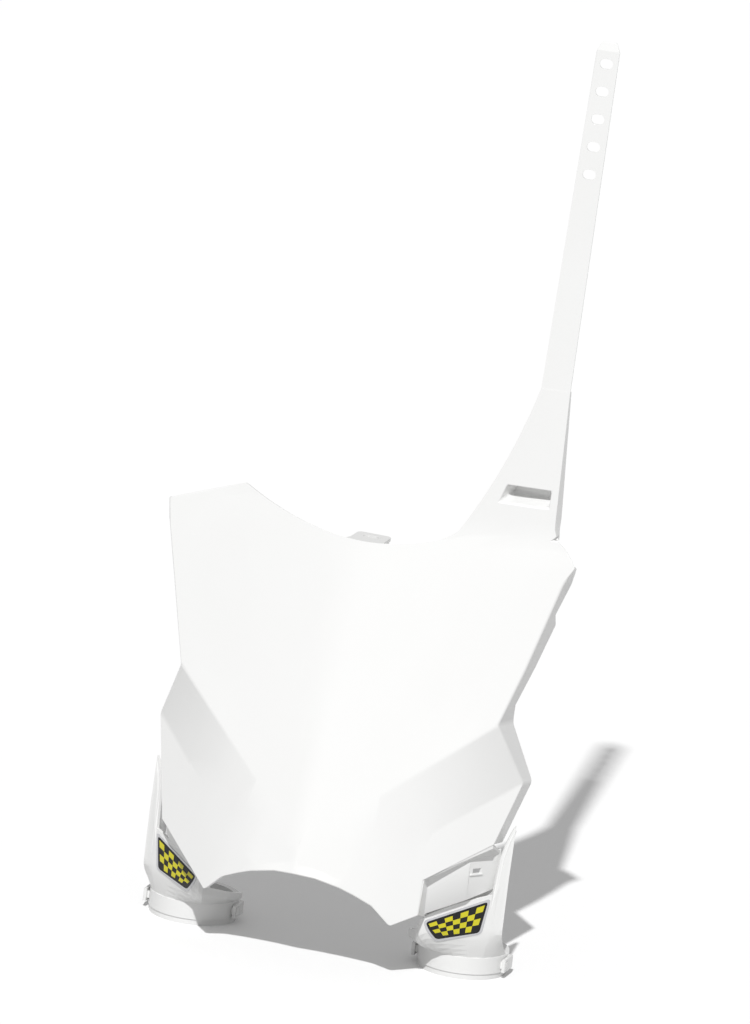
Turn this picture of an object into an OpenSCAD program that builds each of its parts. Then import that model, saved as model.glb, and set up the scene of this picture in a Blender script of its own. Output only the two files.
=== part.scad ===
// Front number plate of an off-road motorcycle, with the two fork shrouds that carry it.
// Millimetres. The plate faces -Y, +X is the viewer's right and +Z is up. The origin lies midway
// between the two fork legs, level with the bottom of the collars.

/* [Fork] */
// Distance between the axes of the two fork legs
fork_pitch = 210; // [200:1:220]
// Diameter of a fork leg where the collar grips it
tube_d = 57; // [54:0.5:59]
// Radial room between a fork leg and its collar
tube_gap = 0.25; // [0.1:0.05:0.4]

/* [Plate] */
// Thickness of the plate's moulded wall
plate_wall = 2.4; // [2:0.1:3]
// Height of the centre line's lowest point
keel_z = 75; // [70:1:80]
// How far that point stands in front of the fork axes
keel_reach = 102; // [96:1:108]
// Height of the centre line's top, at the bottom of the notch
notch_z = 310.5; // [300:0.5:320]
// Backward lean of the plate's main face, in degrees
face_lean = 18; // [15:0.5:21]
// Sweep of each half of the face, in mm back for each mm sideways
sweep = 0.21; // [0.18:0.01:0.24]
// Half width at the top lobes
lobe_x = 159; // [153:0.5:164]
// Height of the top lobes
lobe_z = 313.8; // [305:0.1:318]
// How far the waist reaches outward of the fork axis
waist_out = 18; // [14:0.5:22]
// Height of the waist
waist_z = 197; // [190:1:204]
// How far the cheeks, below the waist, reach outward of the fork axis
cheek_out = 36; // [32:0.5:40]
// Height of the cheeks
cheek_z = 152; // [146:1:158]
// How far the cheeks stand in front of the fork axes
cheek_reach = 18.7; // [15:0.1:22]
// How far the bottom tips stand inward of the fork axis
tip_in = 33; // [30:0.5:36]
// Height of the bottom tips
tip_z = 45; // [42:0.5:48]
// How far the bottom tips stand in front of the fork axes
tip_reach = 84.5; // [80:0.5:88]
// How far the jaw, where the lower edge meets the side, reaches outward of the fork axis
jaw_out = 17; // [14:0.5:20]
// Height of the jaw
jaw_z = 80; // [76:0.5:84]
// How far the jaw stands in front of the fork axes
jaw_reach = 46; // [42:0.5:50]
// Depth of the side returns at the waist
waist_depth = 30; // [25:0.5:34]
// Depth of the side returns at the jaw
jaw_depth = 17; // [12:0.5:18]
// Depth of the side returns at the cheeks
cheek_depth = 18; // [12:0.5:20]
// Depth of the side returns just above the waist
flank_depth = 17; // [14:0.5:20]
// Depth of the side returns below their step
low_step_depth = 23; // [20:0.5:26]
// Depth of the side returns above their step
step_depth = 13; // [11:0.5:15]
// Depth of the side returns below the top lobes
shoulder_depth = 18; // [15:0.5:20]
// Depth of the side returns at the corner of the top lobes
lobe_depth = 4; // [3:0.5:9]

/* [Strap] */
// Half width from the centre to the strap's outer edge
strap_edge_x = 133.3; // [130:0.1:136]
// Width of the strap at its foot
strap_foot_w = 21.2; // [19:0.1:23]
// Width of the strap at its tip
strap_tip_w = 16.7; // [15:0.1:19]
// Height at which the strap's straight run starts
strap_foot_z = 440; // [434:1:446]
// Length of the straight run
strap_len = 256; // [230:1:270]
// Thickness of the strap
strap_t = 2.2; // [1.8:0.1:2.6]
// Backward lean of the strap, in degrees
strap_lean = 5.7; // [4:0.1:8]
// Number of adjustment holes
hole_count = 5; // [3:1:8]
// Distance between the adjustment holes
hole_pitch = 20.3; // [18:0.1:24]
// Length of an adjustment hole
hole_len = 9.6; // [8:0.1:11]
// Height of an adjustment hole
hole_h = 7.3; // [6:0.1:8]
// Distance from the tip to the first hole's centre
hole_margin = 16; // [12:0.5:20]

/* [Strap window] */
// Height of the window's lower edge
window_z = 354; // [352:0.5:357]
// Height of the window
window_h = 12.5; // [10:0.5:14]
// Distance from the centre to the window's inner lower corner
window_x = 92.5; // [91:0.5:95]
// Length of the window along its lower edge
window_len = 37.5; // [34:0.5:38]
// Depth of the chute behind the window
chute_depth = 11; // [8:0.5:13]

/* [Shelf] */
// Length of the shelf behind the notch
shelf_len = 31; // [27:0.5:35]
// Half width of the shelf at its rear
shelf_half = 13; // [11:0.5:16]
// Thickness of the shelf
shelf_t = 2.5; // [2:0.1:3]
// Length of the shelf's oblong hole
shelf_slot_len = 12; // [9:0.5:14]
// Width of the shelf's oblong hole
shelf_slot_w = 6.2; // [5:0.1:7]

/* [Collars] */
// Wall of the collar ring
ring_wall = 4.75; // [4:0.25:5.5]
// Height of the collar ring
ring_h = 17; // [16:0.5:18]
// Height of the stepped-in lip at the bottom of the ring
lip_h = 4.5; // [3.5:0.5:5]
// Depth of that step
lip_step = 0.8; // [0.5:0.1:1.2]
// Gap between the front and the rear half of a collar
split_gap = 0.8; // [0.5:0.1:1.5]
// Height of a latch tab
tab_h = 9.6; // [9:0.1:10.5]
// Thickness of a latch tab
tab_t = 2.4; // [2:0.1:2.8]
// How far a latch tab reaches in front of the fork axis
tab_reach = 11.5; // [10.5:0.5:13]

/* [Shrouds] */
// Wall of a shroud
shroud_wall = 2.2; // [1.8:0.1:2.6]
// How far the prow stands inward of the fork axis
prow_in = 20.5; // [18:0.5:23]
// How far the prow stands in front of the fork axis
prow_reach = 54.5; // [52:0.5:57]
// How far the outer crease stands outward of the fork axis
crease_out = 27.5; // [26:0.5:29]
// How far the outer crease stands in front of the fork axis
crease_reach = 28; // [26:0.5:30]
// Width of the outer flange
flange_w = 7.2; // [6:0.1:9]
// Height of the flange's peak
peak_z = 119; // [110:1:126]
// Height of the rim at the prow
prow_z = 45.5; // [43:0.5:48]
// Height of the rim at the outer crease
rim_z = 67; // [62:0.5:70]
// Height of the rim at the inner wing
wing_z = 25; // [24:0.5:28]

/* [Decals] */
// Thickness of a decal
decal_t = 0.5; // [0.3:0.1:0.8]
// Distance between the rim and a decal's upper edge
decal_drop = 2.2; // [1.5:0.1:4]
// Height of a decal at its outer end
decal_h = 21; // [17:0.5:23]

/* [Hidden] */
$fn = 96;

fit_gap = 0.3;
skirt_gap = 1.1;
plastic = [0.95, 0.95, 0.94];
clip_plastic = [0.90, 0.90, 0.90];

leg_x = fork_pitch / 2;
waist_x = leg_x + waist_out;
cheek_x = leg_x + cheek_out;
jaw_x = leg_x + jaw_out;
tip_x = leg_x - tip_in;
bore_r = tube_d / 2 + tube_gap;
ring_r = bore_r + ring_wall;

// A softened absolute value, which rounds the ridge more and more towards the notch
function soft(x, r) = sqrt(x * x + r * r) - r;
function ridge_round(z) = 1.5 + 24 * max(0, min(1, (z - keel_z) / (notch_z - keel_z)));
function sweep_at(z) = sweep * (1 - 0.2 * max(0, min(1, (z - waist_z) / (lobe_z - waist_z))));

// The face leans at face_lean up to bend_z, then eases over bend_len to the strap's lean
bend_z = notch_z + 6;
bend_len = 30;
function ridge_y(z) =
    let (steep = tan(face_lean), gentle = tan(strap_lean), d = max(0, z - bend_z), e = min(d, bend_len))
    -keel_reach + steep * (min(z, bend_z) - keel_z) + steep * e - (steep - gentle) * e * e / (2 * bend_len)
    + gentle * (d - e);
function face_y(x, z) = ridge_y(z) + sweep_at(z) * soft(x, ridge_round(z));
function on_face(x, z) = [x, face_y(x, z), z];

// A point at fraction u along a path, whose entries are a fraction and a point
function follow(path, u) = [for (k = [0:2]) lookup(u, [for (p = path) [p[0], p[1][k]]])];
function mix(a, b, t) = a * (1 - t) + b * t;
function flip(p) = [-p[0], p[1], p[2]];
function flat_list(rows) = [for (row = rows) for (p = row) p];

// Stations along each half of the face, from the ridge to the side
notch_end_x = 65.4;
shoulder_x = strap_edge_x + 7.3;
strap_start = notch_end_x / lobe_x;
shoulder = shoulder_x / lobe_x;
stations_right = [
    0, 0.03, 0.08, 0.15, 0.22, 0.29, 0.36, strap_start, 0.49, 0.56, 0.62, 0.68, 0.74, 0.8, 0.85,
    shoulder, 0.93, 0.972, 1
];
stations_left = [0, 0.03, 0.08, 0.15, 0.22, 0.29, 0.36, strap_start, 0.5, 0.56, 0.622, 0.74, 0.87, 0.96, 1];
notch_corner_x = 0.622 * lobe_x;

// The lower edge, from the keel to the tip and on to the jaw
keel = [0, -keel_reach, keel_z];
tip = [tip_x, -tip_reach, tip_z];
jaw = [jaw_x, -jaw_reach, jaw_z];
cheek = [cheek_x, -cheek_reach, cheek_z];
function edge_point(s, drop) = [tip_x * s, mix(keel[1], tip[1], pow(s, 1.3)), mix(keel_z, tip_z, drop)];
lower_edge = [
    [0, keel],
    [0.08, edge_point(0.22, 0.035)],
    [0.22, edge_point(0.47, 0.19)],
    [0.3, edge_point(0.64, 0.35)],
    [0.36, edge_point(0.81, 0.55)],
    [strap_start, tip]
];
edge_left = concat(lower_edge, [[1, jaw]]);

// The flat facet below the cheek passes through the tip, the jaw and the cheek
cheek_n = cross(jaw - tip, cheek - tip);
function facet_y(x, z) = tip[1] - (cheek_n[0] * (x - tip[0]) + cheek_n[2] * (z - tip[2])) / cheek_n[1];
function on_facet(x, z) = [x, facet_y(x, z), z];

// At the viewer's right the jaw is cut away for the brake hose: a groove, and a fold above it
fold_s = 0.626;
groove_x = tip_x + 16.8;
groove_foot = on_facet(groove_x, tip_z + 8.5);
groove_top = on_facet(groove_x - 0.6, tip_z + 34.5);
fold_end = mix(cheek, jaw, fold_s);
edge_right = concat(lower_edge, [[0.49, groove_foot], [0.56, groove_top], [1, fold_end]]);

// The two creases that run from the keel to the cheek and to the waist
crease_s = 0.22;
crease_start = on_facet(0.5 * tip_x, keel_z);
// The crease leaves the flat facet towards its foot, where it fades out
crease_sink = 7;
function crease_curve(t) = mix(crease_start, cheek, t) + [0, crease_sink * pow(1 - t, 3), 0];
function cheek_crease(u) =
    u < crease_s ? mix([0, ridge_y(keel_z + 8), keel_z + 8], crease_curve(0), u / crease_s)
        : crease_curve((u - crease_s) / (1 - crease_s));
waist_low_z = keel_z + 20;
function waist_crease(u) = on_face(waist_x * u, mix(waist_low_z, waist_z, u));

// The top edge: an arc for the notch on each side, then the straight shoulders
notch_r_left = 235;
notch_r_right = 170;
function notch_arc(x, r) = notch_z + r - sqrt(r * r - x * x);
shoulder_z = 331;
// The left lobe's corner lies lower than the right one's
lobe_drop = 4.3;
function top_left(x) =
    let (corner_z = notch_arc(notch_corner_x, notch_r_left))
    x < notch_corner_x ? notch_arc(x, notch_r_left)
        : mix(corner_z, lobe_z - lobe_drop, (x - notch_corner_x) / (lobe_x - notch_corner_x));
function top_right(x) =
    let (corner_z = notch_arc(notch_end_x, notch_r_right))
    x < notch_end_x ? notch_arc(x, notch_r_right)
        : x < shoulder_x ? mix(corner_z, shoulder_z, (x - notch_end_x) / (shoulder_x - notch_end_x))
        : mix(shoulder_z, lobe_z, pow((x - shoulder_x) / (lobe_x - shoulder_x), 1.25));
// Levels of the face's rows from the waist to the top edge, and how far each draws in at the lobe's corner
face_levels = [0, 0.12, 0.24, 0.36, 0.48, 0.625, 0.695, 0.79, 0.88, 0.955, 1];
function lobe_corner(v, left) =
    left ? lookup(v, [[0.88, 0], [1, 1.3]]) : lookup(v, [[0, 0], [0.36, 1], [0.625, 3], [0.88, 5], [0.955, 4.2], [1, 2.8]]);
function face_point(u, v, left) =
    let (
        x = u * mix(waist_x, lobe_x, v) - lobe_corner(v, left) * pow(u, 16),
        top = left ? top_left(u * lobe_x) : top_right(u * lobe_x)
    )
    on_face(x, mix(mix(waist_low_z, waist_z, u), top, v));

// One half row of the plate, from the ridge out, with the rear edge of its side return as the last point
side_depths = [
    [0, waist_depth], [face_levels[1], flank_depth], [face_levels[5], low_step_depth],
    [face_levels[6], step_depth], [face_levels[8], shoulder_depth],
    [face_levels[9], mix(shoulder_depth, lobe_depth, 0.45)], [1, lobe_depth]
];
function depth_at(row) =
    row < 3 ? mix(jaw_depth, cheek_depth, row / 3)
    : row < 5 ? mix(cheek_depth, waist_depth, (row - 3) / 2)
    : lookup(face_levels[row - 5], side_depths);
plate_rows = 5 + len(face_levels) - 1;
function surface_point(row, u, left) =
    let (edge = follow(left ? edge_left : edge_right, u))
    row < 3 ? mix(edge, cheek_crease(u), row / 3)
    : row < 5 ? mix(cheek_crease(u), waist_crease(u), (row - 3) / 2)
    : face_point(u, face_levels[row - 5], left);
function half_row(row, left) =
    let (
        stations = left ? stations_left : stations_right,
        points = [for (u = stations) surface_point(row, u, left)],
        side = points[len(points) - 1]
    )
    concat(points, [side + [0.08, 1, -0.12] * depth_at(row)]);
function plate_row(row) =
    let (left = half_row(row, true), right = half_row(row, false))
    concat([for (i = [len(left) - 1:-1:1]) flip(left[i])], right);

// The strap's foot grows out of the top edge between the notch and the shoulder
strap_bend = [mix(notch_end_x, strap_edge_x - strap_foot_w, 0.68), 378];
function foot_inner(t) =
    let (a = [notch_end_x, top_right(notch_end_x)], b = strap_bend, c = [strap_edge_x - strap_foot_w, strap_foot_z])
    mix(mix(a, b, t), mix(b, c, t), t);
foot_rows = [0.03, 0.07, 0.13, 0.2, 0.3, 0.42, 0.56, 0.7, 0.85, 1];
foot_spread = 3.4;
function foot_outer(t) = [
    strap_edge_x + foot_spread * (1 - t)
        + (shoulder_x - strap_edge_x - foot_spread) * pow(max(0, 1 - t / 0.1), 2),
    mix(shoulder_z, strap_foot_z, t)
];
foot_first = 7;
foot_last = 15;
foot_flange = 14;
heel_depth = 4.5;
function foot_row(t) =
    let (
        a = foot_inner(t), b = foot_outer(t),
        u0 = stations_right[foot_first], u1 = stations_right[foot_last],
        points = [
            for (i = [foot_first:foot_last])
                let (p = mix(a, b, (stations_right[i] - u0) / (u1 - u0))) on_face(p[0], p[1])
        ],
        depth = mix(heel_depth, foot_flange, min(1, t / 0.1)) * (1 - t) + (plate_wall + 0.6) * t
    )
    concat(points, [points[len(points) - 1] + [0.05, 1, 0] * depth]);

// Normals and inner points of a grid of points, for a wall of even thickness
function grid_normals(g) = [
    for (j = [0:len(g) - 2]) [
        for (i = [0:len(g[0]) - 2])
            let (v = cross(g[j + 1][i + 1] - g[j][i], g[j + 1][i] - g[j][i + 1])) v / norm(v)
    ]
];
function normals_around(n, j, i) = [
    for (a = [max(0, j - 1):min(len(n) - 1, j)])
        for (b = [max(0, i - 1):min(len(n[0]) - 1, i)]) n[a][b]
];
function total(list) = [for (k = list) 1] * list;
function inner_grid(g, t) =
    let (n = grid_normals(g))
    [
        for (j = [0:len(g) - 1]) [
            for (i = [0:len(g[0]) - 1])
                let (near = normals_around(n, j, i), s = total(near)) g[j][i] - t * s * len(near) / (s * s)
        ]
    ];

// Faces of a moulded wall: index grids for its skins, and the closed loop of indices round its edge
function skin_faces(ids, back) = [
    for (j = [0:len(ids) - 2])
        for (i = [0:len(ids[0]) - 2])
            let (a = ids[j][i], b = ids[j][i + 1], c = ids[j + 1][i + 1], d = ids[j + 1][i])
                each [[a, d, c], [a, c, b], [a + back, c + back, d + back], [a + back, b + back, c + back]]
];
function edge_faces(loop, back) = [
    for (k = [0:len(loop) - 1])
        let (p = loop[k], q = loop[(k + 1) % len(loop)]) each [[p, q, q + back], [p, q + back, p + back]]
];
function grid_ids(rows, cols, first) = [for (j = [0:rows - 1]) [for (i = [0:cols - 1]) first + j * cols + i]];
function grid_loop(ids) =
    let (m = len(ids) - 1, n = len(ids[0]) - 1)
    concat(
        [for (i = [0:n - 1]) ids[0][i]], [for (j = [0:m - 1]) ids[j][n]],
        [for (i = [n:-1:1]) ids[m][i]], [for (j = [m:-1:1]) ids[j][0]]
    );

// A wall of thickness t behind one grid of points, seen with its columns running to the right
module moulded_wall(g, t) {
    back = len(g) * len(g[0]);
    ids = grid_ids(len(g), len(g[0]), 0);
    polyhedron(
        points = concat(flat_list(g), flat_list(inner_grid(g, t))),
        faces = concat(skin_faces(ids, back), edge_faces(grid_loop(ids), back))
    );
}

// A six-sided block between a front and a back quadrilateral, each given anticlockwise from the front
module block(front, rear) {
    polyhedron(
        points = concat(front, rear),
        faces = [[3, 2, 1, 0], [4, 5, 6, 7], [0, 1, 5, 4], [1, 2, 6, 5], [2, 3, 7, 6], [3, 0, 4, 7]]
    );
}

// The face, its side returns and the foot of the strap, as one even wall
module face_shell() {
    face = [for (row = [0:plate_rows]) plate_row(row)];
    foot = [for (t = foot_rows) foot_row(t)];
    cols = len(face[0]);
    join = len(stations_left) - 1 + foot_first;
    // The strap's foot shares the top edge's points and takes its return from the shoulder
    shared = [for (i = [join:join + foot_last - foot_first]) i];
    foot_cols = len(foot[0]);
    face_ids = grid_ids(plate_rows + 1, cols, 0);
    foot_first_id = (plate_rows + 1) * cols;
    heel_id = foot_first_id + len(foot) * foot_cols;
    foot_ids = concat(
        [concat([for (i = shared) face_ids[plate_rows][i]], [heel_id])],
        grid_ids(len(foot), foot_cols, foot_first_id)
    );
    shoulder_point = face[plate_rows][join + foot_last - foot_first];
    heel = shoulder_point + [0.05, 1, 0] * heel_depth;
    foot_grid = concat([concat([for (i = shared) face[plate_rows][i]], [heel])], foot);
    face_back = inner_grid(face, plate_wall);
    foot_inner_grid = inner_grid(foot_grid, plate_wall);
    // The shoulder's inner point is the mitre of the face and of the strap's return
    face_inner = [
        for (j = [0:plate_rows]) [
            for (i = [0:cols - 1])
                j == plate_rows && i == join + foot_last - foot_first
                    ? foot_inner_grid[0][foot_cols - 2] : face_back[j][i]
        ]
    ];
    back = heel_id + 1;
    top = len(foot);
    last = foot_cols - 1;
    loop = concat(
        [for (i = [0:cols - 2]) face_ids[0][i]],
        [for (j = [0:plate_rows - 1]) face_ids[j][cols - 1]],
        [for (i = [cols - 1:-1:join + foot_last - foot_first + 1]) face_ids[plate_rows][i]],
        [foot_ids[0][last - 1]],
        [for (j = [0:top - 1]) foot_ids[j][last]],
        [for (i = [last:-1:1]) foot_ids[top][i]],
        [for (j = [top:-1:1]) foot_ids[j][0]],
        [for (i = [join:-1:1]) face_ids[plate_rows][i]],
        [for (j = [plate_rows:-1:1]) face_ids[j][0]]
    );
    polyhedron(
        points = concat(
            flat_list(face), flat_list(foot), [heel],
            flat_list(face_inner), flat_list([for (j = [1:top]) foot_inner_grid[j]]), [foot_inner_grid[0][last]]
        ),
        faces = concat(skin_faces(face_ids, back), skin_faces(foot_ids, back), edge_faces(loop, back))
    );
}

// The strap lies in a plane that keeps the face's sweep at its foot and its own lean
strap_yaw = atan(sweep_at(lobe_z) * strap_edge_x / sqrt(pow(strap_edge_x, 2) + pow(ridge_round(notch_z), 2)));
strap_x = strap_edge_x - strap_foot_w / 2;
strap_base = on_face(strap_x, strap_foot_z);
// Place in the strap's plane of a point at x and z
function in_strap(x, z) =
    let (dx = x - strap_x, dz = z - strap_foot_z, dy = dx * tan(strap_yaw) + dz * tan(strap_lean))
    [
        dx * cos(strap_yaw) + dy * sin(strap_yaw),
        (-dx * sin(strap_yaw) + dy * cos(strap_yaw)) * sin(strap_lean) + dz * cos(strap_lean)
    ];
module oblong(length, width) {
    square([length - width, width], center = true);
    for (s = [-1, 1]) translate([s * (length - width) / 2, 0]) circle(d = width);
}
module strap() {
    tuck = 8;
    chamfer = 3;
    tip_z_top = strap_foot_z + strap_len;
    tip_left = strap_edge_x - strap_tip_w;
    inset = 0.1;
    translate(strap_base)
        rotate([0, 0, strap_yaw]) rotate([90 - strap_lean, 0, 0])
            translate([0, 0, -strap_t - inset])
                difference() {
                    linear_extrude(strap_t)
                        difference() {
                            polygon([
                                in_strap(strap_edge_x - strap_foot_w - 0.5, strap_foot_z - tuck),
                                in_strap(strap_edge_x - 0.5, strap_foot_z - tuck),
                                in_strap(strap_edge_x, strap_foot_z + 1),
                                in_strap(strap_edge_x, tip_z_top - 2.4 * chamfer),
                                in_strap(strap_edge_x - chamfer, tip_z_top),
                                in_strap(tip_left + chamfer, tip_z_top),
                                in_strap(tip_left, tip_z_top - 2.4 * chamfer),
                                in_strap(strap_edge_x - strap_foot_w, strap_foot_z + 1)
                            ]);
                            for (k = [0:hole_count - 1]) {
                                z = tip_z_top - hole_margin - k * hole_pitch;
                                w = mix(strap_tip_w, strap_foot_w, (tip_z_top - z) / strap_len);
                                translate(in_strap(strap_edge_x - w / 2, z)) oblong(hole_len, hole_h);
                            }
                        }
                    // The tip is bevelled on its front
                    translate(concat(in_strap(strap_x, tip_z_top - 2.2 * chamfer), [strap_t]))
                        rotate([-11, 0, 0]) translate([-strap_foot_w, 0, 0]) cube([3 * strap_foot_w, 20, 5]);
                }
}

// The chute guides the strap's end out through the window
window_rise = 4.5;
window_taper = 6.5;
window_top = window_z + window_h;
window_slant = 0.348;
window_far_x = window_x + window_len;
chute_rear = face_y(window_far_x, window_top) + chute_depth;
function window_left(z) = window_x + window_slant * (z - window_z);
module chute_body() {
    w = plate_wall;
    low = window_z - w;
    high = window_top + 5;
    sink = 1.2;
    block(
        [
            for (p = [
                [window_left(low) - w, low], [window_far_x + w, low],
                [window_far_x + w, high], [window_left(high) - w, high]
            ]) on_face(p[0], p[1]) + [0, sink, 0]
        ],
        [
            [window_left(low) + window_taper - w, chute_rear + w, low + window_rise],
            [window_far_x + w, chute_rear + w, low + window_rise],
            [window_far_x + w, chute_rear + w, high],
            [window_left(high) + window_taper - w, chute_rear + w, high]
        ]
    );
}
module chute_hollow() {
    out = 4;
    slope = window_rise / chute_depth;
    front_low = window_z - out * slope;
    block(
        [
            on_face(window_left(window_z), window_z) - [0, out, window_z - front_low],
            on_face(window_far_x, window_z) - [0, out, window_z - front_low],
            on_face(window_far_x, window_top) - [0, out, 0],
            on_face(window_left(window_top), window_top) - [0, out, 0]
        ],
        [
            [window_left(window_z) + window_taper, chute_rear, window_z + window_rise],
            [window_far_x, chute_rear, window_z + window_rise],
            [window_far_x, chute_rear, window_top], [window_left(window_top) + window_taper, chute_rear, window_top]
        ]
    );
    high = window_top + 9;
    low = window_top - 1;
    block(
        [
            for (p = [
                [window_left(low), low], [window_far_x, low], [window_far_x, high], [window_left(window_top), high]
            ]) on_face(p[0], p[1]) + [0, plate_wall + 0.3, 0]
        ],
        [
            [window_left(low) + window_taper, chute_rear, low], [window_far_x, chute_rear, low],
            [window_far_x, chute_rear, high], [window_left(window_top) + window_taper, chute_rear, high]
        ]
    );
}

// The shelf behind the notch takes a fastener in its oblong hole
shelf_z = notch_z - 1.5;
module shelf() {
    sink = plate_wall - 0.9;
    front = face_y(0, shelf_z) + sink;
    rear = front + shelf_len;
    corner = 4;
    difference() {
        translate([0, 0, shelf_z - shelf_t])
            linear_extrude(shelf_t)
                difference() {
                    union() {
                        polygon([
                            [-shelf_half - 4, front], [shelf_half + 4, front], [shelf_half, front + 12],
                            [shelf_half, rear - corner], [-shelf_half, rear - corner], [-shelf_half, front + 12]
                        ]);
                        translate([-shelf_half + corner, rear - 2 * corner])
                            square([2 * (shelf_half - corner), 2 * corner]);
                        for (s = [-1, 1]) translate([s * (shelf_half - corner), rear - corner]) circle(corner);
                    }
                    translate([0, rear - 10]) oblong(shelf_slot_len, shelf_slot_w);
                }
    }
    // A gusset under each side carries the shelf on the back of the face
    gusset_drop = 24;
    gusset_t = 2;
    for (s = [-1, 1])
        translate([s * (shelf_half - gusset_t / 2) - gusset_t / 2, 0, 0])
            rotate([90, 0, 90])
                linear_extrude(gusset_t)
                    polygon([
                        [front, shelf_z - 0.5], [rear - 6, shelf_z - 0.5], [rear - 6, shelf_z - shelf_t - 1],
                        [face_y(shelf_half, shelf_z - gusset_drop) + sink, shelf_z - gusset_drop]
                    ]);
}

// Skirts drop from the jaw inside the rim of each shroud. Places are relative to the fork axis, x outward.
shroud_line = [crease_out + prow_in, prow_reach - crease_reach];
shroud_dir = shroud_line / norm(shroud_line);
shroud_in = [-shroud_dir[1], shroud_dir[0]];
function on_shroud_line(dx) = [dx, -prow_reach + (dx + prow_in) * shroud_dir[1] / shroud_dir[0]];
skirt_start = groove_x - leg_x;
skirt_corner = 11.5;
skirt_z = prow_z - 1.5;
skirt_top = 100;
skirt_rear = [25.7, -19];
// The end of the skirt's side panel lies inside the side return where the jaw isn't cut away
skirt_rear_full = mix([skirt_corner, -35.5], skirt_rear, 0.36);
module behind_cheek() {
    sink = 1.9;
    far = 60;
    corners = [[60, 20], [150, 20], [150, 125], [60, 125]];
    block(
        [for (p = corners) [p[0], facet_y(p[0], p[1]) + sink, p[1]]],
        [for (p = corners) [p[0], far, p[1]]]
    );
}
module skirt(rear) {
    off = shroud_wall + skirt_gap;
    a = on_shroud_line(skirt_start) + off * shroud_in;
    b = on_shroud_line(skirt_corner) + off * shroud_in;
    side = (rear - b) / norm(rear - b);
    side_in = [-side[1], side[0]];
    corner_in = b + plate_wall * (shroud_in + side_in) / (1 + shroud_in * side_in);
    intersection() {
        behind_cheek();
        translate([leg_x, 0, skirt_z])
            linear_extrude(skirt_top - skirt_z)
                polygon([
                    a, b, rear, rear + plate_wall * side_in, corner_in, a + plate_wall * shroud_in
                ]);
    }
}
// A web ties the skirt to the back of the face where the jaw isn't cut away
module skirt_web() {
    off = shroud_wall + skirt_gap + plate_wall / 2;
    a = on_shroud_line(skirt_start) + off * shroud_in;
    b = on_shroud_line(skirt_corner) + off * shroud_in;
    intersection() {
        behind_cheek();
        translate([leg_x, 0, skirt_top - plate_wall - 3])
            linear_extrude(plate_wall)
                polygon([a, b, skirt_rear_full, [20, -26], [20, -60], [skirt_start, -75]]);
    }
}

// At the hose side the face is cut back, so a groove wall and a roof join the face to the skirt
module hose_recess() {
    off = shroud_wall + skirt_gap;
    inner = on_shroud_line(skirt_start) + (off + plate_wall / 2) * shroud_in;
    sink = 1;
    translate([groove_x - plate_wall - 0.1, 0, 0])
        rotate([90, 0, 90])
            linear_extrude(plate_wall)
                polygon([
                    [inner[1], skirt_z + 1], [inner[1], groove_top[2]], [groove_top[1] + sink, groove_top[2]],
                    [groove_foot[1] + sink, groove_foot[2] + 0.5]
                ]);
    // A narrow hem hangs from the fold's outer part
    hem_h = 3.4;
    hem_a = mix(groove_top, fold_end, 0.3) + [0, 0.4, 0];
    hem_b = fold_end + [-0.4, 0.4, 0];
    hem_back = [0, plate_wall - 0.4, 0];
    block(
        [hem_a - [0, 0, 0.4], hem_b - [0, 0, hem_h], hem_b + [0, 0, 0.8], hem_a + [0, 0, 0.8]],
        [
            hem_a - [0, 0, 0.4] + hem_back, hem_b - [0, 0, hem_h] + hem_back,
            hem_b + [0, 0, 0.8] + hem_back, hem_a + [0, 0, 0.8] + hem_back
        ]
    );
    mid_s = (leg_x + skirt_corner - groove_top[0]) / (fold_end[0] - groove_top[0]);
    fold_mid = mix(groove_top, fold_end, mid_s);
    bend = on_shroud_line(skirt_corner) + (off + plate_wall / 2) * shroud_in;
    drop = [0, 0, plate_wall];
    start = [leg_x + inner[0] - 1, inner[1], groove_top[2]];
    corner = [leg_x + bend[0], bend[1], fold_mid[2] - 3];
    rear = [leg_x + skirt_rear[0] - 1, skirt_rear[1] - 1, skirt_top - 1];
    for (q = [
        [groove_top - [1.5, -sink, 0], fold_mid + [0, sink, 0], corner, start],
        [fold_mid + [0, sink, 0], fold_end + [-0.5, sink, 0], rear, corner]
    ])
        block([q[0] - drop, q[1] - drop, q[1], q[0]], [q[3] - drop, q[2] - drop, q[2], q[3]]);
}

// The hose clip's slot and the small lip under it
clip_slot_w = 6;
clip_slot_h = 3.6;
clip_slot_z = 85;
module on_side_panel(z) {
    off = shroud_wall + skirt_gap;
    b = on_shroud_line(skirt_corner) + off * shroud_in;
    side = skirt_rear - b;
    translate([leg_x + b[0], b[1], z]) rotate([0, 0, atan2(side[1], side[0])]) children();
}
module clip_slot() {
    on_side_panel(clip_slot_z) translate([2.6, -4, -clip_slot_h / 2]) cube([clip_slot_w, 12, clip_slot_h]);
}
module clip_lip() {
    on_side_panel(clip_slot_z - clip_slot_h / 2 - 1.4)
        translate([0.4, -1.2, 0]) cube([clip_slot_w + 3, 2, 1.3]);
}

module number_plate() {
    color(plastic)
        difference() {
            union() {
                face_shell();
                strap();
                shelf();
                chute_body();
                skirt(skirt_rear);
                mirror([1, 0, 0]) skirt(skirt_rear_full);
                mirror([1, 0, 0]) skirt_web();
                hose_recess();
                clip_lip();
            }
            chute_hollow();
            clip_slot();
        }
}

// Half a collar, from angle a over sweep degrees, with the gap to the other half left open
module half_ring(start) {
    open = asin(split_gap / 2 / bore_r);
    rotate([0, 0, start + open])
        rotate_extrude(angle = 180 - 2 * open)
            polygon([
                [bore_r, 0], [ring_r - lip_step, 0], [ring_r - lip_step, lip_h], [ring_r, lip_h],
                [ring_r, ring_h], [bore_r, ring_h]
            ]);
}

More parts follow.
